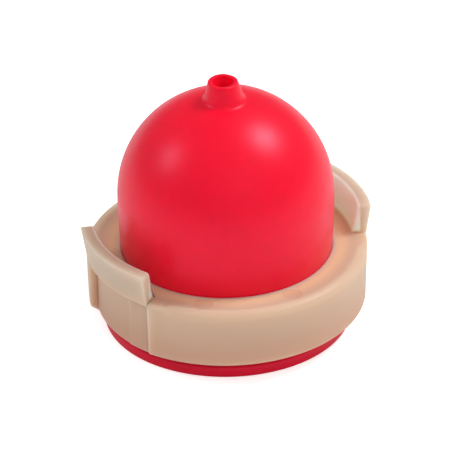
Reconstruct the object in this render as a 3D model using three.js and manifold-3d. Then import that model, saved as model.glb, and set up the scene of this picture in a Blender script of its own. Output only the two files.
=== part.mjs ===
// Snap-in primer bulb: a moulded rubber bulb, held down by a one-piece nylon ring with two snap tabs.
// Millimetres, +Z up. The origin is the centre of the flange underside, which is what the part rests on.
// Azimuths are in degrees, from the front (-Y) towards the right (+X).
import * as THREE from 'three';
import { mergeVertices } from 'three/addons/utils/BufferGeometryUtils.js';
import Module from 'manifold-3d';

const wasm = await Module();
wasm.setup();

// Rubber bulb: a nearly straight side under a half-round dome
const BULB_RADIUS = 10.33;
const BULB_WALL = 1.35;
const DOME_SPRING_HEIGHT = 13.45;
const WAIST_PINCH = 0.28;
const WAIST_FILLET = 0.4;
const FLANGE_WIDTH = 1.5;
const FLANGE_THICKNESS = 1.25;
const FLANGE_EDGE_ROUND = 0.3;

// Nipple on the crown, with the vent that a thumb closes
const NIPPLE_RISE = 1.82;
const NIPPLE_TIP_RADIUS = 1.48;
const NIPPLE_ROOT_RADIUS = 1.9;
const NIPPLE_FILLET = 0.45;
const VENT_MOUTH_RADIUS = 1.06;
const VENT_RADIUS = 0.75;
const VENT_FUNNEL_DEPTH = 0.9;
const NIPPLE_RIM_ROUND = 0.12;

// Retainer ring: its body between the tabs
const RING_CLEARANCE = 0.3;
const RING_BODY_WIDTH = 3.1;
const RING_TOP_HEIGHT = 7.95;
const RING_WALL_DRAFT = 2;
const RING_BORE_CHAMFER = 0.12;
const FOOT_CONE_WIDTH = 1.15;
const FOOT_CONE_RISE = 0.75;
const BEAD_ROUND = 0.72;
const BEAD_STEP = 0.14;

// Snap tabs, one on each side, and the ring under them
const TAB_AZIMUTH = -60;
const TAB_COUNT = 2;
const TAB_HALF_ANGLE = 24;
const TAB_TOP_HEIGHT = 10.9;
const TAB_THICKNESS = 1.3;
const TAB_FLARE = 0.5;
const TAB_EDGE_ROUND = 0.14;
const TAB_ROOT_FILLET = 0.3;
const TAB_CORNER_ROUND = 0.35;
const BARB_LEDGE_DROP = 0.35;
const BARB_LEDGE_SLOPE = 0.4;
const UNDERCUT_DEPTH = 0.8;
const UNDERCUT_FOOT_LIFT = 0.22;
const UNDERCUT_START_ANGLE = -20;
const UNDERCUT_END_ANGLE = 25.2;
const BEAD_RELIEF_ANGLE = 12;
const BEAD_RELIEF_DEPTH = 0.06;

// Ejector-pin marks sunk in the ring's top face
const PIN_MARK_RADIUS = 1;
const PIN_MARK_DEPTH = 0.12;
const PIN_MARK_AZIMUTHS = [-11.5, 32.5];

// Fineness of the round forms
const SEGMENTS_AROUND = 60;
const DOME_STEPS = 12;
const DOME_INSIDE_STEPS = 10;
const BEAD_STEPS = 6;
const SECTOR_STEPS = 6;
const ROUND_STEPS = 3;
const SMALL_ROUND_STEPS = 2;
const PIN_MARK_SEGMENTS = 20;

// Sizes that follow from the ones above
const WAIST_RADIUS = BULB_RADIUS - WAIST_PINCH;
const FLANGE_RADIUS = BULB_RADIUS + FLANGE_WIDTH;
const NIPPLE_TOP_HEIGHT = DOME_SPRING_HEIGHT + BULB_RADIUS + NIPPLE_RISE;
const SEAT_HEIGHT = FLANGE_THICKNESS + RING_CLEARANCE;
const RING_BORE_RADIUS = WAIST_RADIUS + RING_CLEARANCE;
const RING_OUTER_RADIUS = RING_BORE_RADIUS + RING_BODY_WIDTH;
const RING_FLOOR_HEIGHT = RING_TOP_HEIGHT - BEAD_STEP;
const FOOT_EDGE_HEIGHT = SEAT_HEIGHT + FOOT_CONE_RISE;
const WALL_TOP_HEIGHT = RING_TOP_HEIGHT - BEAD_ROUND;
const RING_FOOT_RADIUS = RING_OUTER_RADIUS - (WALL_TOP_HEIGHT - FOOT_EDGE_HEIGHT) * tangent(RING_WALL_DRAFT);
const BEAD_INNER_RADIUS = RING_OUTER_RADIUS - BEAD_ROUND;
const TAB_TIP_RADIUS = RING_OUTER_RADIUS + TAB_FLARE;
const UNDERCUT_RADIUS = RING_OUTER_RADIUS - UNDERCUT_DEPTH;
const BARB_LEDGE_HEIGHT = RING_TOP_HEIGHT - BARB_LEDGE_DROP;
const FULL_TURN = 360;
// Cutters run past the solids by this much, so that no two faces lie on each other
const OVERSHOOT = 2;
const CUTTER_RADIUS = TAB_TIP_RADIUS + OVERSHOOT;
const CUTTER_TOP = TAB_TOP_HEIGHT + OVERSHOOT;

function radians(degrees) {
  return THREE.MathUtils.degToRad(degrees);
}

function tangent(degrees) {
  return Math.tan(radians(degrees));
}

function point(radius, height) {
  return new THREE.Vector2(radius, height);
}

// Points along a round from one angle to another; 0 degrees points outward and 90 points up
function round(radius, height, size, from, to, steps = ROUND_STEPS) {
  const points = [];
  for (let i = 0; i <= steps; i++) {
    const angle = radians(from + ((to - from) * i) / steps);
    points.push(point(radius + size * Math.cos(angle), height + size * Math.sin(angle)));
  }
  return points;
}

// Revolves a closed outline, listed anticlockwise with the axis on its left, about +Z
function revolve(outline) {
  const closed = [...outline, outline[0].clone()];
  const geometry = new THREE.LatheGeometry(closed, SEGMENTS_AROUND);
  return geometry.rotateX(Math.PI / 2);
}

function toSolid(geometry) {
  geometry.deleteAttribute('normal');
  geometry.deleteAttribute('uv');
  const merged = mergeVertices(geometry);
  const mesh = new wasm.Mesh({
    numProp: 3,
    vertProperties: Float32Array.from(merged.attributes.position.array),
    triVerts: Uint32Array.from(merged.index.array),
  });
  return new wasm.Manifold(mesh);
}

function toGeometry(solid) {
  const mesh = solid.getMesh();
  const geometry = new THREE.BufferGeometry();
  geometry.setAttribute('position', new THREE.BufferAttribute(Float32Array.from(mesh.vertProperties), 3));
  geometry.setIndex(new THREE.BufferAttribute(Uint32Array.from(mesh.triVerts), 1));
  geometry.computeVertexNormals();
  return geometry;
}

// A tall slice of space between two azimuths, to keep or remove one sector of a revolved form
function sector(from, to) {
  const quarterTurn = Math.PI / 2;
  const shape = new THREE.Shape();
  shape.moveTo(0, 0);
  shape.absarc(0, 0, CUTTER_RADIUS + OVERSHOOT, radians(from) - quarterTurn, radians(to) - quarterTurn, false);
  shape.lineTo(0, 0);
  const slice = new THREE.ExtrudeGeometry(shape, {
    depth: CUTTER_TOP + 2 * OVERSHOOT,
    bevelEnabled: false,
    curveSegments: SECTOR_STEPS,
  });
  return toSolid(slice.translate(0, 0, -2 * OVERSHOOT));
}

function revolvedSector(outline, from, to) {
  return toSolid(revolve(outline)).intersect(sector(from, to));
}

function flangeOutline() {
  const edge = FLANGE_RADIUS - FLANGE_EDGE_ROUND;
  return [
    ...round(edge, FLANGE_EDGE_ROUND, FLANGE_EDGE_ROUND, -90, 0),
    ...round(edge, FLANGE_THICKNESS - FLANGE_EDGE_ROUND, FLANGE_EDGE_ROUND, 0, 90),
  ];
}

// The ring's bore grips the narrower waist, and the side swells gently from there to the dome
function waistOutline() {
  const filletRadius = WAIST_RADIUS + WAIST_FILLET;
  const swell = new THREE.QuadraticBezierCurve(
    point(WAIST_RADIUS, RING_TOP_HEIGHT),
    point(BULB_RADIUS, (RING_TOP_HEIGHT + DOME_SPRING_HEIGHT) / 2),
    point(BULB_RADIUS, DOME_SPRING_HEIGHT),
  );
  return [
    ...round(filletRadius, FLANGE_THICKNESS + WAIST_FILLET, WAIST_FILLET, 270, 180),
    ...swell.getPoints(ROUND_STEPS).slice(0, -1),
  ];
}

function nippleOutline() {
  const filletReach = NIPPLE_ROOT_RADIUS + NIPPLE_FILLET;
  const domeAngle = THREE.MathUtils.radToDeg(Math.acos(filletReach / BULB_RADIUS));
  const domePoints = round(0, DOME_SPRING_HEIGHT, BULB_RADIUS, 0, domeAngle, DOME_STEPS);
  const filletStart = domePoints[domePoints.length - 1];
  const filletCorner = point(NIPPLE_ROOT_RADIUS, filletStart.y + NIPPLE_FILLET / 2);
  const filletEnd = point(NIPPLE_ROOT_RADIUS, filletStart.y + NIPPLE_FILLET);
  const fillet = new THREE.QuadraticBezierCurve(filletStart, filletCorner, filletEnd);
  const rimRadius = NIPPLE_TIP_RADIUS - NIPPLE_RIM_ROUND;
  const rimHeight = NIPPLE_TOP_HEIGHT - NIPPLE_RIM_ROUND;
  return [
    ...domePoints,
    ...fillet.getPoints(ROUND_STEPS).slice(1),
    ...round(rimRadius, rimHeight, NIPPLE_RIM_ROUND, 0, 90, SMALL_ROUND_STEPS),
  ];
}

function ventOutline() {
  const cavityRadius = BULB_RADIUS - BULB_WALL;
  const ventAngle = THREE.MathUtils.radToDeg(Math.acos(VENT_RADIUS / cavityRadius));
  return [
    point(VENT_MOUTH_RADIUS, NIPPLE_TOP_HEIGHT),
    point(VENT_RADIUS, NIPPLE_TOP_HEIGHT - VENT_FUNNEL_DEPTH),
    ...round(0, DOME_SPRING_HEIGHT, cavityRadius, ventAngle, 0, DOME_INSIDE_STEPS),
    point(cavityRadius, 0),
  ];
}

// One moulded shell, open below, with an even wall and the vent right through its nipple
function rubberBulb() {
  return revolve([...flangeOutline(), ...waistOutline(), ...nippleOutline(), ...ventOutline()]);
}

// The ring's section between the tabs: a coned foot, a drafted wall, a rounded bead and a flat top
function ringBody() {
  return toSolid(revolve([
    point(RING_BORE_RADIUS + WAIST_FILLET, SEAT_HEIGHT),
    point(RING_FOOT_RADIUS - FOOT_CONE_WIDTH, SEAT_HEIGHT),
    point(RING_FOOT_RADIUS, FOOT_EDGE_HEIGHT),
    ...round(BEAD_INNER_RADIUS, WALL_TOP_HEIGHT, BEAD_ROUND, 0, 90, BEAD_STEPS),
    point(BEAD_INNER_RADIUS - BEAD_STEP, RING_FLOOR_HEIGHT),
    point(RING_BORE_RADIUS + RING_BORE_CHAMFER, RING_FLOOR_HEIGHT),
    point(RING_BORE_RADIUS, RING_FLOOR_HEIGHT - RING_BORE_CHAMFER),
    point(RING_BORE_RADIUS, SEAT_HEIGHT + WAIST_FILLET),
  ]));
}

// What lies outside the wall where it is set back under a tab
function outsideOfUndercut() {
  const lift = UNDERCUT_FOOT_LIFT;
  const footHeight = SEAT_HEIGHT + lift;
  return [
    point(RING_BORE_RADIUS + WAIST_FILLET, -OVERSHOOT),
    point(CUTTER_RADIUS, -OVERSHOOT),
    point(CUTTER_RADIUS, CUTTER_TOP),
    point(UNDERCUT_RADIUS, CUTTER_TOP),
    point(UNDERCUT_RADIUS, footHeight + lift),
    point(UNDERCUT_RADIUS - lift, footHeight),
    point(RING_BORE_RADIUS + WAIST_FILLET, footHeight),
  ];
}

// The tab leans outward. Its underside is the barb that catches behind the housing's edge
function tabOutline() {
  const tipInner = TAB_TIP_RADIUS - TAB_THICKNESS;
  const rootInner = RING_OUTER_RADIUS - TAB_THICKNESS;
  const edge = TAB_EDGE_ROUND;
  const ledgeRootHeight = BARB_LEDGE_HEIGHT - BARB_LEDGE_SLOPE;
  return [
    point(rootInner - TAB_ROOT_FILLET, ledgeRootHeight - TAB_ROOT_FILLET),
    point(UNDERCUT_RADIUS - TAB_ROOT_FILLET, ledgeRootHeight - TAB_ROOT_FILLET),
    point(UNDERCUT_RADIUS, ledgeRootHeight),
    point(RING_OUTER_RADIUS, BARB_LEDGE_HEIGHT),
    ...round(TAB_TIP_RADIUS - edge, TAB_TOP_HEIGHT - edge, edge, 0, 90, SMALL_ROUND_STEPS),
    ...round(tipInner + edge, TAB_TOP_HEIGHT - edge, edge, 90, 180, SMALL_ROUND_STEPS),
    ...round(rootInner - TAB_ROOT_FILLET, RING_FLOOR_HEIGHT + TAB_ROOT_FILLET, TAB_ROOT_FILLET, 0, -90),
  ];
}

// A tall plate facing along +Y with rounded upper corners, as wide as the tab's radial ends at its tip
function tabFace() {
  const halfWidth = TAB_TIP_RADIUS * Math.sin(radians(TAB_HALF_ANGLE));
  const corner = TAB_CORNER_ROUND;
  const shape = new THREE.Shape();
  shape.moveTo(-halfWidth, 0);
  shape.lineTo(halfWidth, 0);
  shape.lineTo(halfWidth, TAB_TOP_HEIGHT - corner);
  shape.absarc(halfWidth - corner, TAB_TOP_HEIGHT - corner, corner, 0, Math.PI / 2, false);
  shape.lineTo(corner - halfWidth, TAB_TOP_HEIGHT);
  shape.absarc(corner - halfWidth, TAB_TOP_HEIGHT - corner, corner, Math.PI / 2, Math.PI, false);
  shape.lineTo(-halfWidth, 0);
  const plate = new THREE.ExtrudeGeometry(shape, {
    depth: CUTTER_RADIUS,
    bevelEnabled: false,
    curveSegments: ROUND_STEPS,
  });
  return toSolid(plate.rotateX(Math.PI / 2));
}

function snapTab(azimuth) {
  const blank = revolvedSector(tabOutline(), azimuth - TAB_HALF_ANGLE, azimuth + TAB_HALF_ANGLE);
  return blank.intersect(tabFace().rotate([0, 0, azimuth]));
}

// Under a tab the wall is set back, and the tab's ledge overhangs it
function undercut(azimuth) {
  return revolvedSector(
    outsideOfUndercut(),
    azimuth + UNDERCUT_START_ANGLE,
    azimuth + UNDERCUT_END_ANGLE,
  );
}

// The bead stops short of each end of a tab, which leaves the tab free to bend
function beadReliefs(azimuth) {
  const halfAngle = TAB_HALF_ANGLE + BEAD_RELIEF_ANGLE;
  const innerRadius = BEAD_INNER_RADIUS - BEAD_STEP;
  const bottom = RING_FLOOR_HEIGHT - BEAD_RELIEF_DEPTH;
  return revolvedSector(
    [
      point(innerRadius, bottom),
      point(CUTTER_RADIUS, bottom),
      point(CUTTER_RADIUS, CUTTER_TOP),
      point(innerRadius, CUTTER_TOP),
    ],
    azimuth - halfAngle,
    azimuth + halfAngle,
  );
}

function pinMark(azimuth) {
  const depth = PIN_MARK_DEPTH + OVERSHOOT;
  const markRadius = (RING_BORE_RADIUS + BEAD_INNER_RADIUS) / 2;
  const pin = new THREE.CylinderGeometry(PIN_MARK_RADIUS, PIN_MARK_RADIUS, depth, PIN_MARK_SEGMENTS);
  pin.rotateX(Math.PI / 2);
  pin.translate(0, -markRadius, RING_FLOOR_HEIGHT - PIN_MARK_DEPTH + depth / 2);
  return toSolid(pin.rotateZ(radians(azimuth)));
}

function retainerRing() {
  let ring = ringBody();
  for (let i = 0; i < TAB_COUNT; i++) {
    const turn = (FULL_TURN * i) / TAB_COUNT;
    const azimuth = TAB_AZIMUTH + turn;
    ring = ring.subtract(undercut(azimuth)).subtract(beadReliefs(azimuth)).add(snapTab(azimuth));
    for (const markAzimuth of PIN_MARK_AZIMUTHS) {
      ring = ring.subtract(pinMark(markAzimuth + turn));
    }
  }
  return toGeometry(ring);
}

function addPiece(group, name, geometry, material) {
  const mesh = new THREE.Mesh(geometry, material);
  mesh.name = name;
  group.add(mesh);
}

const rubber = new THREE.MeshStandardMaterial({ color: 0xe8193a, roughness: 0.42, metalness: 0 });
const nylon = new THREE.MeshStandardMaterial({ color: 0xd3ab8c, roughness: 0.38, metalness: 0 });

const group = new THREE.Group();
addPiece(group, 'rubber_bulb', rubberBulb(), rubber);
addPiece(group, 'retainer_ring', retainerRing(), nylon);

export default group;
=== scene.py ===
"""Snap-in primer bulb: a red rubber bulb held down by a tan nylon retainer ring with two snap tabs."""
import math

import bmesh
import bpy
from mathutils import Euler, Matrix, Vector, noise


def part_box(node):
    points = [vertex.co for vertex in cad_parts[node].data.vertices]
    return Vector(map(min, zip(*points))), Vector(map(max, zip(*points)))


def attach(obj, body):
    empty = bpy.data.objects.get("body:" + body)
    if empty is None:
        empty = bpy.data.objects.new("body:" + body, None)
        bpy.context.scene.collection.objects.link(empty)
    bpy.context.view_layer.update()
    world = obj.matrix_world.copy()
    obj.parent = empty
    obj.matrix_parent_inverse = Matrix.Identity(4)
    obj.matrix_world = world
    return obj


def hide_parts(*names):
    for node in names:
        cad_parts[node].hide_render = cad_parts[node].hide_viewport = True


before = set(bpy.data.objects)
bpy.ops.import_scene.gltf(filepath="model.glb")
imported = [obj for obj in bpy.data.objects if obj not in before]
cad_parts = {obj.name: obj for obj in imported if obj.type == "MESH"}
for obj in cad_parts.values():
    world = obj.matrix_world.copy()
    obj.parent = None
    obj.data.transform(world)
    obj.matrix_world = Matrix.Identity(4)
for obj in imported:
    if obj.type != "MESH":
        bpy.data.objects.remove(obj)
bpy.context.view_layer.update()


# Rubber bulb. One compression-moulded shell of soft red rubber, open below, with a vented nipple on
# its crown and a flange round its foot. Its waist is squeezed by the ring, and the rubber is satin,
# slightly mottled, and lets a little light through where it is thin.
MM = 0.001
SHARP_EDGE = math.radians(38)
bulb_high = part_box("rubber_bulb")[1]
BULB_RADIUS = 10.33 * MM
BULB_WALL = 1.35 * MM
DOME_SPRING = 13.45 * MM
WAIST_RADIUS = 10.08 * MM
WAIST_TOP = 7.6 * MM
WAIST_FILLET = 0.4 * MM
FLANGE_RADIUS = bulb_high.x
FLANGE_THICKNESS = 1.25 * MM
FLANGE_ROUND = 0.34 * MM
FLANGE_FOOT_ROUND = 0.7 * FLANGE_ROUND
FLANGE_TOP_SLOPE = 0.1 * MM
NIPPLE_TOP = bulb_high.z
NIPPLE_TIP_RADIUS = 1.44 * MM
NIPPLE_ROOT_RADIUS = 1.88 * MM
NIPPLE_FILLET = 0.42 * MM
NIPPLE_LIP = 0.11 * MM
NIPPLE_LEAN = 0.09 * MM
VENT_MOUTH_RADIUS = 1.04 * MM
VENT_RADIUS = 0.8 * MM
VENT_DEPTH = 1.1 * MM
BULB_STEPS = 192
FLAT_STEPS = 5
FILLET_STEPS = 5
BROW_STEPS = 6
ROUND_STEPS = 4
SWELL_STEPS = 16
DOME_STEPS = 44
INNER_DOME_STEPS = 30
COLLAR_STEPS = 7
COLLAR_CORNER = (0.12, 0.25)
COLLAR_END = (-0.15, 1.3)
SOFT_WAVE = 0.035 * MM
SOFT_SCALE = 160
SOFT_FADE = 3 * MM
FLASH_WAVE = 0.08 * MM
FLASH_SCALE = 1100
FLASH_SPREAD = (0.03, -0.04)


def arc(radius, height, size, start, end, steps):
    """Points of a round in the (radius, height) plane, from one angle in degrees to another."""
    points = []
    for step in range(steps + 1):
        angle = math.radians(start + (end - start) * step / steps)
        points.append((radius + size * math.cos(angle), height + size * math.sin(angle)))
    return points


def between(start, end, steps):
    """Points strictly between two points of an outline, evenly spaced."""
    points = []
    for step in range(1, steps):
        share = step / steps
        points.append((start[0] + (end[0] - start[0]) * share, start[1] + (end[1] - start[1]) * share))
    return points


def curve(start, corner, end, steps):
    """Points of a soft bend from start to end that leans towards a corner point."""
    points = []
    for step in range(steps + 1):
        t = step / steps
        weights = ((1 - t) ** 2, 2 * t * (1 - t), t * t)
        points.append(tuple(
            weights[0] * a + weights[1] * b + weights[2] * c for a, b, c in zip(start, corner, end)))
    return points


def bulb_outline():
    """The closed section of the bulb's wall, anticlockwise, from the inside of its foot."""
    cavity = BULB_RADIUS - BULB_WALL
    edge = FLANGE_RADIUS - FLANGE_ROUND
    under = [(cavity + FLANGE_ROUND / 2, 0.0)] + between((cavity, 0.0), (edge, 0.0), FLAT_STEPS)
    foot = arc(
        FLANGE_RADIUS - FLANGE_FOOT_ROUND, FLANGE_FOOT_ROUND, FLANGE_FOOT_ROUND, -90, 0, ROUND_STEPS)
    brow = arc(edge, FLANGE_THICKNESS - FLANGE_ROUND, FLANGE_ROUND, 0, 90, BROW_STEPS)
    fillet = arc(
        WAIST_RADIUS + WAIST_FILLET, FLANGE_THICKNESS + FLANGE_TOP_SLOPE + WAIST_FILLET,
        WAIST_FILLET, 270, 180, FILLET_STEPS)
    waist = between(fillet[-1], (WAIST_RADIUS, WAIST_TOP), FLAT_STEPS)
    swell = curve(
        (WAIST_RADIUS, WAIST_TOP), (BULB_RADIUS, (WAIST_TOP + DOME_SPRING) / 2),
        (BULB_RADIUS, DOME_SPRING), SWELL_STEPS)
    crown_angle = math.degrees(math.acos((NIPPLE_ROOT_RADIUS + NIPPLE_FILLET) / BULB_RADIUS))
    dome = arc(0, DOME_SPRING, BULB_RADIUS, 0, crown_angle, DOME_STEPS)[1:]
    bend = [
        (NIPPLE_ROOT_RADIUS + NIPPLE_FILLET * across, dome[-1][1] + NIPPLE_FILLET * up)
        for across, up in (COLLAR_CORNER, COLLAR_END)]
    collar = curve(dome[-1], bend[0], bend[1], COLLAR_STEPS)[1:]
    tip = arc(
        NIPPLE_TIP_RADIUS - NIPPLE_LIP, NIPPLE_TOP - NIPPLE_LIP, NIPPLE_LIP, 10, 90, ROUND_STEPS)
    flank = between(collar[-1], tip[0], COLLAR_STEPS)
    mouth = arc(
        VENT_MOUTH_RADIUS + NIPPLE_LIP / 2, NIPPLE_TOP - NIPPLE_LIP / 2, NIPPLE_LIP / 2, 90, 180,
        ROUND_STEPS - 1)
    throat_top = (VENT_RADIUS, NIPPLE_TOP - VENT_DEPTH)
    funnel = between(mouth[-1], throat_top, FLAT_STEPS)
    vent_angle = math.degrees(math.acos(VENT_RADIUS / cavity))
    inner_dome = arc(0, DOME_SPRING, cavity, vent_angle, 0, INNER_DOME_STEPS)
    throat = between(throat_top, inner_dome[0], ROUND_STEPS)
    inner_wall = between(inner_dome[-1], (cavity, 0.0), FLAT_STEPS + 3)
    lead_in = [(cavity, FLANGE_ROUND / 2)]
    return (under + foot + brow + fillet + waist + swell + dome + collar + flank + tip + mouth
            + funnel + [throat_top] + throat + inner_dome + inner_wall + lead_in)


def spun(outline, steps):
    """A bmesh of a closed outline turned once round the Z axis."""
    bm = bmesh.new()
    verts = [bm.verts.new((radius, 0.0, height)) for radius, height in outline]
    edges = [bm.edges.new((a, b)) for a, b in zip(verts, verts[1:] + verts[:1])]
    bmesh.ops.spin(
        bm, geom=verts + edges, cent=(0, 0, 0), axis=(0, 0, 1), angle=math.tau, steps=steps,
        use_merge=True)
    return bm


def soften_bulb(bm):
    """Gives the dome the slight unevenness of soft rubber, and its nipple a lean and a ragged lip."""
    crown = DOME_SPRING + BULB_RADIUS
    lip_start = NIPPLE_TOP - 3 * NIPPLE_LIP
    for vert in bm.verts:
        radius = math.hypot(vert.co.x, vert.co.y)
        height = vert.co.z
        if radius > NIPPLE_ROOT_RADIUS and height > DOME_SPRING:
            fade = min(1.0, (height - DOME_SPRING) / SOFT_FADE)
            dent = min(noise.noise(vert.co * SOFT_SCALE), 0.0) * SOFT_WAVE
            vert.co += vert.co.normalized() * dent * fade
        if height > crown:
            vert.co.x -= NIPPLE_LEAN * (height - crown) / (NIPPLE_TOP - crown)
        if height > lip_start:
            lift = (height - lip_start) / (NIPPLE_TOP - lip_start)
            wave = noise.noise(Vector((vert.co.x, vert.co.y, 0.0)) * FLASH_SCALE)
            back = max(0.0, vert.co.y / radius) ** 6
            vert.co.z -= FLASH_WAVE * lift * (1 - back) * (0.75 + 0.9 * wave)
            vert.co.x *= 1 + FLASH_SPREAD[0] * lift * wave
            vert.co.y *= 1 + FLASH_SPREAD[1] * lift * wave


def finished(bm, name):
    """Turns a bmesh into an object at the origin, with its faces outward and smooth shading."""
    bmesh.ops.remove_doubles(bm, verts=bm.verts, dist=0.0004 * MM)
    bmesh.ops.recalc_face_normals(bm, faces=bm.faces)
    mesh = bpy.data.meshes.new(name)
    bm.to_mesh(mesh)
    bm.free()
    mesh.shade_smooth()
    mesh.set_sharp_from_angle(angle=SHARP_EDGE)
    piece = bpy.data.objects.new(name, mesh)
    bpy.context.scene.collection.objects.link(piece)
    return piece


bulb_bm = spun(bulb_outline(), BULB_STEPS)
soften_bulb(bulb_bm)
bulb = finished(bulb_bm, "moulded_bulb")


class Socket:
    """A shader value that can be added, taken away and multiplied like a number."""

    def __init__(self, tree, link):
        self.tree = tree
        self.link = link

    def node(self, kind, settings=None, out=0, **inputs):
        """A new node of a kind; its settings are made first, then the sockets that are named."""
        made = self.tree.nodes.new(kind)
        for key, value in (settings or {}).items():
            setattr(made, key, value)
        for key, value in inputs.items():
            place = int(key[1:]) if key[0] == "i" and key[1:].isdigit() else key.replace("_", " ")
            socket = made.inputs[place]
            if isinstance(value, Socket):
                self.tree.links.new(value.link, socket)
            else:
                socket.default_value = value
        return Socket(self.tree, made.outputs[out])

    def math(self, operation, other=0.0):
        """A Math node on this value and another one."""
        return self.node("ShaderNodeMath", {"operation": operation}, i0=self, i1=other)

    def __add__(self, other):
        return self.math("ADD", other)

    def __sub__(self, other):
        return self.math("SUBTRACT", other)

    def __rsub__(self, other):
        return self * -1.0 + other

    def __mul__(self, other):
        return self.math("MULTIPLY", other)

    __radd__ = __add__

    def ramp(self, low, high):
        """Zero below low and one above high, with a smooth rise between."""
        return self.node(
            "ShaderNodeMapRange", {"interpolation_type": "SMOOTHSTEP"},
            Value=self, From_Min=low, From_Max=high)

    def mixed(self, first, second):
        """A colour that goes from first to second as this mask goes from zero to one."""
        return self.node(
            "ShaderNodeMix", {"data_type": "RGBA"}, out=2, i0=self, i6=first, i7=second)

    def noise(self, scale, detail, roughness):
        """Cloudy noise on this vector."""
        return self.node(
            "ShaderNodeTexNoise", Vector=self, Scale=scale, Detail=detail, Roughness=roughness)


def new_material(name):
    """A node material, its shader, and the place, height and radius on the piece."""
    material = bpy.data.materials.new(name)
    material.use_nodes = True
    tree = material.node_tree
    shader = tree.nodes["Principled BSDF"]
    coords = tree.nodes.new("ShaderNodeTexCoord")
    place = Socket(tree, coords.outputs["Object"])
    split = tree.nodes.new("ShaderNodeSeparateXYZ")
    tree.links.new(place.link, split.inputs[0])
    x, y, height = (Socket(tree, output) for output in split.outputs)
    radius = (x * x + y * y).math("SQRT")
    return material, shader, place, height, radius


def feed(shader, name, value):
    """Links a varying value to one of the shader's sockets."""
    value.tree.links.new(value.link, shader.inputs[name])


def bumped(shader, height, strength, distance):
    """Bumps the shader's surface by a height."""
    feed(shader, "Normal", height.node(
        "ShaderNodeBump", Strength=strength, Distance=distance, Height=height))


RUBBER_RED = (0.94, 0.0025, 0.026, 1.0)
RUBBER_DEEP_AND_SHADE = (0.70, 0.0025, 0.024, 1.0)
RUBBER_BLOOM = (0.92, 0.035, 0.07, 1.0)
CLOUD_RANGE = (0.3, 0.7)
FLECK_RANGE = (0.62, 0.74)
BULB_SHADE_RISE = (14.0 * MM, 0.0)


def rubber_material():
    """Satin red rubber: faintly cloudy pigment, darker towards the foot (partly painted shade), fine
    grain, pale bloom and a few rubbed flecks.
    """
    material, shader, place, height, _ = new_material("red_rubber")
    cloud = place.noise(scale=700.0, detail=4.0, roughness=0.65)
    grain = place.noise(scale=3000.0, detail=2.0, roughness=0.6)
    fleck = place.noise(scale=1500.0, detail=5.0, roughness=0.75).ramp(*FLECK_RANGE) * 0.35
    # The height ramp darkens the lower bulb: partly painted shade where the ring closes in, partly the
    # rubber's deeper tone. The cloud is the pigment's own mottling.
    mottle_and_shade = cloud.ramp(*CLOUD_RANGE) * 0.2 + height.ramp(*BULB_SHADE_RISE) * 0.8
    base = mottle_and_shade.mixed(RUBBER_RED, RUBBER_DEEP_AND_SHADE)
    feed(shader, "Base Color", fleck.mixed(base, RUBBER_BLOOM))
    feed(shader, "Roughness", 0.31 + cloud * 0.06 + grain * 0.06)
    shader.inputs["IOR"].default_value = 1.5
    shader.inputs["Specular IOR Level"].default_value = 0.33
    shader.inputs["Specular Tint"].default_value = (1.0, 0.7, 1.0, 1.0)
    shader.inputs["Sheen Weight"].default_value = 0.12
    shader.inputs["Sheen Roughness"].default_value = 0.35
    shader.inputs["Sheen Tint"].default_value = (1.0, 0.45, 0.75, 1.0)
    shader.inputs["Subsurface Weight"].default_value = 0.1
    shader.inputs["Subsurface Radius"].default_value = (1.0, 0.12, 0.08)
    shader.inputs["Subsurface Scale"].default_value = 0.001
    bumped(shader, grain * 0.35 + cloud * 0.6, 0.35, 0.02 * MM)
    return material


bulb.data.materials.append(rubber_material())
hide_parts("rubber_bulb")
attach(bulb, "root")


# Retainer ring. One injection-moulded piece of natural nylon, pushed down over the bulb's waist so
# that its foot holds the flange. Two tabs lean outward over an undercut wall and snap behind the
# edge of the socket, and a rounded bead runs round the shoulder and stops short of each tab.
ring_low, ring_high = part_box("retainer_ring")
BORE_RADIUS = 10.13 * MM
BORE_LIP = 0.14 * MM
SEAT = ring_low.z
RING_RADIUS = ring_high.y
RING_TOP = 7.95 * MM
FLOOR_DROP = 0.05 * MM
FLOOR = RING_TOP - FLOOR_DROP
FOOT_RADIUS = 13.28 * MM
FOOT_EDGE = 2.3 * MM
FOOT_CONE = 1.15 * MM
EDGE_ROUND = 0.14 * MM
RELIEF_ROUND = 0.42 * MM
BEAD_ROUND = 0.76 * MM
BEAD_FALL = 0.55 * MM
BEAD_FALL_STEPS = 7
BEAD_ROUND_STEPS = 16
BEAD_STEP_SHARE = 0.06
BEAD_TIP = 33.9
BEAD_FULL = 38.4
TAB_TURN = -60.0
TAB_COUNT = 2
TAB_START = -24.0
TAB_END = 25.0
TAB_TOP = ring_high.z
TAB_THICKNESS = 1.3 * MM
TAB_LEAN = 0.5 * MM
TAB_ROUND = 0.17 * MM
TAB_CORNER = 0.4 * MM
TAB_ROOT_FILLET = 0.45 * MM
BARB_EDGE = 7.6 * MM
BARB_DROP = 0.4 * MM
UNDERCUT_RADIUS = 12.65 * MM
UNDERCUT_FOOT = 2.0 * MM
UNDERCUT_CHAMFER = 0.22 * MM
UNDERCUT_START = -20.0
UNDERCUT_END = 25.2
FACET_TURN = 12.0
FACET_DEPTH = 0.08 * MM
FACET_BLEND = 0.4
MARK_TURNS = (-11.5, 32.5)
MARK_PLACE = 11.46 * MM
MARK_RADIUS = 1.02 * MM
MARK_EDGE = 0.07 * MM
MARK_DEPTH = 0.05 * MM
MARK_HEIGHT = 1.0 * MM
MARK_FLARE = 0.125 * MM
MARK_STEPS = 48
HALF_SPAN = 180 / TAB_COUNT
TAB_STATIONS = (
    -17, -14, -11, -8, -5, -2, 1, 4, 7, 10, 11.5, 11.8, 12.0, 12.2, 12.5, 14, 17, 20, 22)
END_SHARES = (1.0, 0.78, 0.58, 0.42, 0.29, 0.18, 0.1, 0.04, 0.0)
RELIEF_STATIONS = (26.5, 28, 29.5, 31, 32.5, 33.6)
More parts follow.
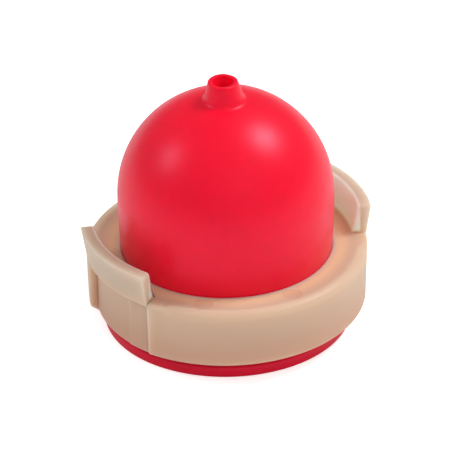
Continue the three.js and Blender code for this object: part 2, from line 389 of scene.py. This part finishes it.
BEAD_SHARES = (0.0, 0.003, 0.012, 0.03, 0.06, 0.1, 0.16, 0.24, 0.34, 0.46, 0.6, 0.76, 0.9, 1.0)
BEAD_STATIONS = 34


def eased(value, low, high):
    """Zero below low and one above high, with a smooth rise between."""
    share = min(1.0, max(0.0, (value - low) / (high - low)))
    return share * share * (3 - 2 * share)


def rounded_off(distance, size):
    """How far a surface falls back at a distance from its rounded end."""
    if distance >= size:
        return 0.0
    return size - math.sqrt(size * size - (size - distance) ** 2)


def ring_inside():
    """The part of the section that is the same all round: the flat top's inner lip, bore and heel."""
    lip = arc(BORE_RADIUS + BORE_LIP, FLOOR - BORE_LIP, BORE_LIP, 90, 180, 4)
    bore = between(lip[-1], (BORE_RADIUS, SEAT + WAIST_FILLET), 4)
    heel = arc(BORE_RADIUS + WAIST_FILLET, SEAT + WAIST_FILLET, WAIST_FILLET, 180, 270, 3)
    return lip + bore + heel


def outer_wall(off, undercut, step_distance):
    """The seat, foot and outer wall, off degrees from a tab's middle."""
    if undercut:
        past_facet = eased(off, FACET_TURN - FACET_BLEND, FACET_TURN + FACET_BLEND)
        radius = UNDERCUT_RADIUS - FACET_DEPTH * (1 - past_facet)
        foot = (radius, UNDERCUT_FOOT)
        seat = (radius - UNDERCUT_CHAMFER, UNDERCUT_FOOT - UNDERCUT_CHAMFER)
    else:
        back = rounded_off(step_distance, EDGE_ROUND)
        foot = (FOOT_RADIUS - back, FOOT_EDGE)
        seat = (FOOT_RADIUS - FOOT_CONE, SEAT)
    heel = (BORE_RADIUS + 2 * WAIST_FILLET, seat[1])
    slope = (foot[1] - seat[1]) / (foot[0] - seat[0])
    edge = curve(
        (foot[0] - EDGE_ROUND, foot[1] - EDGE_ROUND * slope), foot, (foot[0], foot[1] + EDGE_ROUND), 4)
    return [heel] + between(heel, seat, 3) + [seat] + between(seat, edge[0], 3) + edge


def plain_shoulder(off, top_radius):
    """The shoulder where no tab stands: the round bead, which narrows to a tip before each tab."""
    share = min(1.0, max(0.0, (abs(off) - BEAD_TIP) / (BEAD_FULL - BEAD_TIP)))
    full = math.sqrt(1 - (1 - share) ** 2)
    start = RELIEF_ROUND if off > 0 else EDGE_ROUND
    size = start + (BEAD_ROUND - start) * full
    top = FLOOR + FLOOR_DROP * eased(share, 0.0, BEAD_STEP_SHARE)
    rim = arc(top_radius - size, top - size, size, 0, 90, BEAD_ROUND_STEPS)
    crest = rim[-1][0]
    shares = [step / BEAD_FALL_STEPS for step in range(1, BEAD_FALL_STEPS + 1)]
    fall = [(crest - BEAD_FALL * part, top - (top - FLOOR) * eased(part, 0, 1)) for part in shares]
    return rim + fall


def tab_shoulder(undercut, end_distance):
    """The shoulder where a tab stands: barb ledge, leaning outer face, crest, inner face and root."""
    back = rounded_off(end_distance, TAB_ROUND)
    outer_foot = (RING_RADIUS - (back if undercut else 0.0), BARB_EDGE)
    tuck = EDGE_ROUND if undercut else 0.0
    outer_top = RING_RADIUS + TAB_LEAN - back
    top = TAB_TOP - rounded_off(end_distance, TAB_CORNER)
    inner_top = RING_RADIUS + TAB_LEAN - TAB_THICKNESS + back
    inner_foot = RING_RADIUS - TAB_THICKNESS + back
    ledge = curve(
        (outer_foot[0] - tuck, BARB_EDGE - EDGE_ROUND / 2), outer_foot,
        (outer_foot[0] + EDGE_ROUND / 6, BARB_EDGE + EDGE_ROUND), 3)
    crest_out = arc(outer_top - TAB_ROUND, top - TAB_ROUND, TAB_ROUND, 0, 90, 4)
    crest_in = arc(inner_top + TAB_ROUND, top - TAB_ROUND, TAB_ROUND, 90, 180, 4)
    root = arc(inner_foot - TAB_ROOT_FILLET, FLOOR + TAB_ROOT_FILLET, TAB_ROOT_FILLET, 0, -90, 4)
    return (ledge + between(ledge[-1], crest_out[0], 4) + crest_out + crest_in
            + between(crest_in[-1], root[0], 3) + root)


def ring_section(off, on_tab=False, undercut=False, end_distance=1.0, step_distance=1.0):
    """The whole closed section of the ring, off degrees from the middle of a tab."""
    wall = outer_wall(off, undercut, step_distance)
    top_radius = wall[-1][0] if undercut else RING_RADIUS - rounded_off(step_distance, EDGE_ROUND)
    if on_tab:
        shoulder = tab_shoulder(undercut, end_distance)
        under = (top_radius, BARB_EDGE - (BARB_DROP if undercut else EDGE_ROUND))
    else:
        shoulder = plain_shoulder(off, top_radius)
        under = (top_radius, shoulder[0][1] - EDGE_ROUND)
    inside = ring_inside()
    return (wall + between(wall[-1], under, 6) + [under] + shoulder
            + between(shoulder[-1], inside[0], 4) + inside)


def ring_span():
    """The sections from halfway before a tab to halfway past it: pairs of degrees and a section."""
    degree = RING_RADIUS * math.radians(1)
    span = []

    def add(off, **kind):
        span.append((off, ring_section(off, **kind)))

    for step in range(BEAD_STATIONS - 1, 0, -1):
        add(-BEAD_FULL - (HALF_SPAN - BEAD_FULL) * step / BEAD_STATIONS)
    for share in reversed(BEAD_SHARES):
        add(-BEAD_TIP - share * (BEAD_FULL - BEAD_TIP))
    for off in reversed(RELIEF_STATIONS):
        add(-off)
    add(TAB_START)
    for share in reversed(END_SHARES):
        add(TAB_START + share * TAB_CORNER / degree, on_tab=True, end_distance=share * TAB_CORNER)
    for share in END_SHARES:
        add(UNDERCUT_START - share * EDGE_ROUND / degree, on_tab=True,
            step_distance=share * EDGE_ROUND)
    for off in (UNDERCUT_START,) + TAB_STATIONS:
        add(off, on_tab=True, undercut=True)
    for share in END_SHARES:
        add(TAB_END - share * TAB_CORNER / degree, on_tab=True, undercut=True,
            end_distance=share * TAB_CORNER)
    add(TAB_END, undercut=True)
    add(UNDERCUT_END, undercut=True)
    for share in reversed(END_SHARES):
        add(UNDERCUT_END + share * EDGE_ROUND / degree, step_distance=share * EDGE_ROUND)
    for off in RELIEF_STATIONS:
        add(off)
    for share in BEAD_SHARES:
        add(BEAD_TIP + share * (BEAD_FULL - BEAD_TIP))
    for step in range(1, BEAD_STATIONS + 1):
        add(BEAD_FULL + (HALF_SPAN - BEAD_FULL) * step / BEAD_STATIONS)
    return span


def shaped_ring():
    """The ring: a plain section spun once round, then each of its copies set to its own section."""
    span = ring_span()
    stations = [(TAB_TURN + 360 * tab / TAB_COUNT + off, section)
                for tab in range(TAB_COUNT) for off, section in span]
    bm = bmesh.new()
    place = bm.verts.layers.int.new("place")
    verts = [bm.verts.new((radius, 0.0, height)) for radius, height in stations[0][1]]
    for index, vert in enumerate(verts):
        vert[place] = index
    edges = [bm.edges.new((a, b)) for a, b in zip(verts, verts[1:] + verts[:1])]
    bmesh.ops.spin(
        bm, geom=verts + edges, cent=(0, 0, 0), axis=(0, 0, 1), angle=math.tau, steps=len(stations),
        use_merge=True)
    for vert in bm.verts:
        share = math.atan2(vert.co.y, vert.co.x) / math.tau % 1.0
        turn, section = stations[round(share * len(stations)) % len(stations)]
        radius, height = section[vert[place]]
        angle = math.radians(turn)
        vert.co = (radius * math.sin(angle), -radius * math.cos(angle), height)
    return bm


def mark_places(height):
    """The middles of the pin marks on the ring's flat top, put at a height."""
    turns = [math.radians(turn + 360 * tab / TAB_COUNT)
             for tab in range(TAB_COUNT) for turn in MARK_TURNS]
    return [(MARK_PLACE * math.sin(turn), -MARK_PLACE * math.cos(turn), height) for turn in turns]


def sink_pin_marks(piece):
    """Cuts the shallow round marks that the mould's ejector pins leave in the ring's flat top."""
    bm = bmesh.new()
    for middle in mark_places(FLOOR - MARK_DEPTH + MARK_HEIGHT / 2):
        bmesh.ops.create_cone(
            bm, cap_ends=True, segments=MARK_STEPS, radius1=MARK_RADIUS,
            radius2=MARK_RADIUS + MARK_FLARE, depth=MARK_HEIGHT, matrix=Matrix.Translation(middle))
    pins = finished(bm, "ejector_pins")
    cut = piece.modifiers.new("pin_marks", "BOOLEAN")
    cut.operation = "DIFFERENCE"
    cut.solver = "MANIFOLD"
    cut.object = pins
    whole = piece.data
    graph = bpy.context.evaluated_depsgraph_get()
    piece.data = bpy.data.meshes.new_from_object(piece.evaluated_get(graph))
    piece.data.name = piece.name
    piece.data.materials.clear()
    piece.data.shade_smooth()
    piece.data.set_sharp_from_angle(angle=SHARP_EDGE)
    piece.modifiers.clear()
    bpy.data.objects.remove(pins)
    bpy.data.meshes.remove(whole)


ring = finished(shaped_ring(), "snap_ring")
sink_pin_marks(ring)

NYLON_TAN = (0.64, 0.46, 0.33, 1.0)
NYLON_UPPER_LIGHT = (0.58, 0.475, 0.37, 1.0)
NYLON_SHADE_AND_MOTTLE = (0.60, 0.36, 0.25, 1.0)
NYLON_RED_BOUNCE = (0.98, 0.66, 0.37, 1.0)
NYLON_EDGE_HIGHLIGHT = (1.0, 0.72, 0.54, 1.0)
NYLON_TAB_LIGHT = (0.74, 1.0, 0.78, 1.0)
FOOT_SHADE_FALL = (7.2 * MM, 2.0 * MM)
UPPER_LIGHT_RISE = (7.6 * MM, 9.0 * MM)
RED_BOUNCE_REACH = (12.2 * MM, 10.6 * MM)
TAB_LIGHT_REACH = (13.0 * MM, 12.75 * MM)
TAB_LIGHT_RISE = (7.85 * MM, 8.3 * MM)
LIP_HIGHLIGHT_REACH = (10.62 * MM, 10.42 * MM)
LIP_HIGHLIGHT_RISE = (7.55 * MM, 7.7 * MM)


def pin_marks(place):
    """Masks for the round marks of the ejector pins: their floors, for painted shade, and their edges,
    for a painted highlight.
    """
    mark_floor_shade = edges = 0.0
    for middle in mark_places(FLOOR):
        away = place.node(
            "ShaderNodeVectorMath", {"operation": "DISTANCE"}, out=1, i0=place, i1=middle)
        inside = 1.0 - away.ramp(MARK_RADIUS - MARK_EDGE, MARK_RADIUS + MARK_EDGE)
        rim = 1.0 - (away - MARK_RADIUS).math("ABSOLUTE").ramp(0.0, 1.6 * MARK_EDGE)
        mark_floor_shade = inside + mark_floor_shade
        edges = rim + edges
    return mark_floor_shade, edges


def nylon_material():
    """Natural nylon: translucent, with painted red bounce beside the bore, painted light on the upper
    parts and the tabs' thin inner faces, and painted shade towards the foot.
    """
    material, shader, place, height, radius = new_material("natural_nylon")
    cloud = place.noise(scale=260.0, detail=3.0, roughness=0.55)
    grain = place.noise(scale=3200.0, detail=2.0, roughness=0.6)
    mark_floor_shade, edges = pin_marks(place)
    # Painted shade: the wall darkens towards the foot, where the light falls off downward.
    base = height.ramp(*FOOT_SHADE_FALL).mixed(NYLON_TAN, NYLON_SHADE_AND_MOTTLE)
    # Painted light: the upper parts are less red and paler, standing in for light through the nylon
    # against the bulb's red bounce.
    base = height.ramp(*UPPER_LIGHT_RISE).mixed(base, NYLON_UPPER_LIGHT)
    # Painted reflection: orange near the bore, standing in for the red rubber's bounce and its colour
    # showing through the thin lip.
    base = (radius.ramp(*RED_BOUNCE_REACH) * 0.8).mixed(base, NYLON_RED_BOUNCE)
    # Painted light: the tabs' inner faces turn pale and green-tinged, standing in for light through
    # the thin wall and cancelling the bulb's red bounce.
    tab_light = radius.ramp(*TAB_LIGHT_REACH) * height.ramp(*TAB_LIGHT_RISE)
    base = tab_light.mixed(base, NYLON_TAB_LIGHT)
    # Painted shade in the pin marks' shallow floors, and a painted highlight round their edges.
    base = (mark_floor_shade * 0.28).mixed(base, NYLON_SHADE_AND_MOTTLE)
    base = (edges * 0.2).mixed(base, NYLON_EDGE_HIGHLIGHT)
    # Painted highlight: a pale line along the bore's lip, where its edge catches the light.
    lip = radius.ramp(*LIP_HIGHLIGHT_REACH) * height.ramp(*LIP_HIGHLIGHT_RISE)
    base = (lip * 0.9).mixed(base, NYLON_EDGE_HIGHLIGHT)
    # The cloud is the nylon's own uneven tone, mixed towards the same dark colour as the painted
    # shade.
    feed(shader, "Base Color", (cloud.ramp(*CLOUD_RANGE) * 0.10).mixed(base, NYLON_SHADE_AND_MOTTLE))
    feed(shader, "Roughness", 0.36 + cloud * 0.08 + grain * 0.05)
    shader.inputs["IOR"].default_value = 1.5
    shader.inputs["Specular IOR Level"].default_value = 0.35
    shader.inputs["Subsurface Weight"].default_value = 1.0
    shader.inputs["Subsurface Radius"].default_value = (1.0, 0.95, 0.85)
    shader.inputs["Subsurface Scale"].default_value = 0.003
    bumped(shader, grain * 0.3 + cloud * 0.8, 0.5, 0.05 * MM)
    return material


ring.data.materials.append(nylon_material())
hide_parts("retainer_ring")
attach(ring, "root")


# Studio. A pale sheet that the part stands on, soft lights from above on both sides, and a long lens
# that looks down on the part from the front.
CAMERA_ELEVATION = math.radians(31.0)
CAMERA_ROLL = math.radians(1.0)
CAMERA_DISTANCE = 577.5 * MM
CAMERA_LENS = 477.9
AIM = Vector((-0.03, 0.0, 8.28)) * MM
LAMP_AIM = Vector((0.0, 0.0, 0.01))
FLOOR_SIZE = 3.0
FLOOR_GLOW = 0.6
FLOOR_CLEARANCE = 0.02 * MM


def studio_floor():
    """A flat pale sheet, bright to the camera, that still takes the part's shadow."""
    bm = bmesh.new()
    bmesh.ops.create_grid(
        bm, x_segments=1, y_segments=1, size=FLOOR_SIZE / 2,
        matrix=Matrix.Translation((0.0, 0.0, -FLOOR_CLEARANCE)))
    mesh = bpy.data.meshes.new("studio_floor")
    bm.to_mesh(mesh)
    bm.free()
    floor = bpy.data.objects.new("studio_floor", mesh)
    bpy.context.scene.collection.objects.link(floor)
    material = bpy.data.materials.new("studio_floor")
    material.use_nodes = True
    tree = material.node_tree
    shader = tree.nodes["Principled BSDF"]
    shader.inputs["Base Color"].default_value = (0.9, 0.9, 0.9, 1.0)
    shader.inputs["Roughness"].default_value = 0.9
    shader.inputs["Specular IOR Level"].default_value = 0.0
    shader.inputs["Emission Strength"].default_value = 1.0
    path = tree.nodes.new("ShaderNodeLightPath")
    camera = Socket(tree, path.outputs["Is Camera Ray"])
    feed(shader, "Emission Color", camera * FLOOR_GLOW)
    floor.data.materials.append(material)


def softbox(name, place, size, power, reflected=True):
    """A square lamp that faces the part, and that may be kept out of its reflections."""
    lamp = bpy.data.lights.new(name, "AREA")
    lamp.shape = "SQUARE"
    lamp.size = size
    lamp.energy = power
    made = bpy.data.objects.new(name, lamp)
    made.location = place
    made.rotation_euler = (LAMP_AIM - Vector(place)).to_track_quat("-Z", "Y").to_euler()
    made.visible_glossy = reflected
    bpy.context.scene.collection.objects.link(made)


def studio_world(strength, reflected):
    """An even pale surround: white to the camera, and softer in reflections and as light."""
    world = bpy.data.worlds.new("studio")
    bpy.context.scene.world = world
    world.use_nodes = True
    tree = world.node_tree
    back = tree.nodes["Background"]
    path = tree.nodes.new("ShaderNodeLightPath")
    camera = Socket(tree, path.outputs["Is Camera Ray"])
    glossy = Socket(tree, path.outputs["Is Glossy Ray"])
    level = strength + glossy * (reflected - strength)
    level = level + camera * (1.0 - level)
    back.inputs["Color"].default_value = (1.0, 1.0, 1.0, 1.0)
    tree.links.new(level.link, back.inputs["Strength"])


def studio_camera():
    """The camera at the photograph's angle."""
    lens = bpy.data.cameras.new("camera")
    lens.lens = CAMERA_LENS
    lens.clip_start = 0.01
    lens.clip_end = 10.0
    camera = bpy.data.objects.new("camera", lens)
    bpy.context.scene.collection.objects.link(camera)
    level = Vector((0.0, math.sin(CAMERA_ELEVATION), math.cos(CAMERA_ELEVATION)))
    back = Vector((0.0, -math.cos(CAMERA_ELEVATION), math.sin(CAMERA_ELEVATION)))
    place = Vector((AIM.x, 0.0, 0.0)) + level * AIM.z + back * CAMERA_DISTANCE
    tilt = Euler((math.pi / 2 - CAMERA_ELEVATION, 0.0, 0.0)).to_matrix()
    roll = Matrix.Rotation(-CAMERA_ROLL, 3, "Z")
    camera.matrix_world = Matrix.Translation(place) @ (tilt @ roll).to_4x4()
    bpy.context.scene.camera = camera


studio_floor()
softbox("key_lamp", place=(0.285, 0.083, 0.41), size=0.13, power=1.3)
softbox("side_lamp", place=(-0.40, 0.003, 0.315), size=0.14, power=0.45)
softbox("front_lamp", place=(0.12, -0.42, 0.30), size=0.40, power=0.52, reflected=False)
studio_world(strength=0.50, reflected=0.14)
studio_camera()
bpy.context.scene.view_settings.view_transform = "Standard"
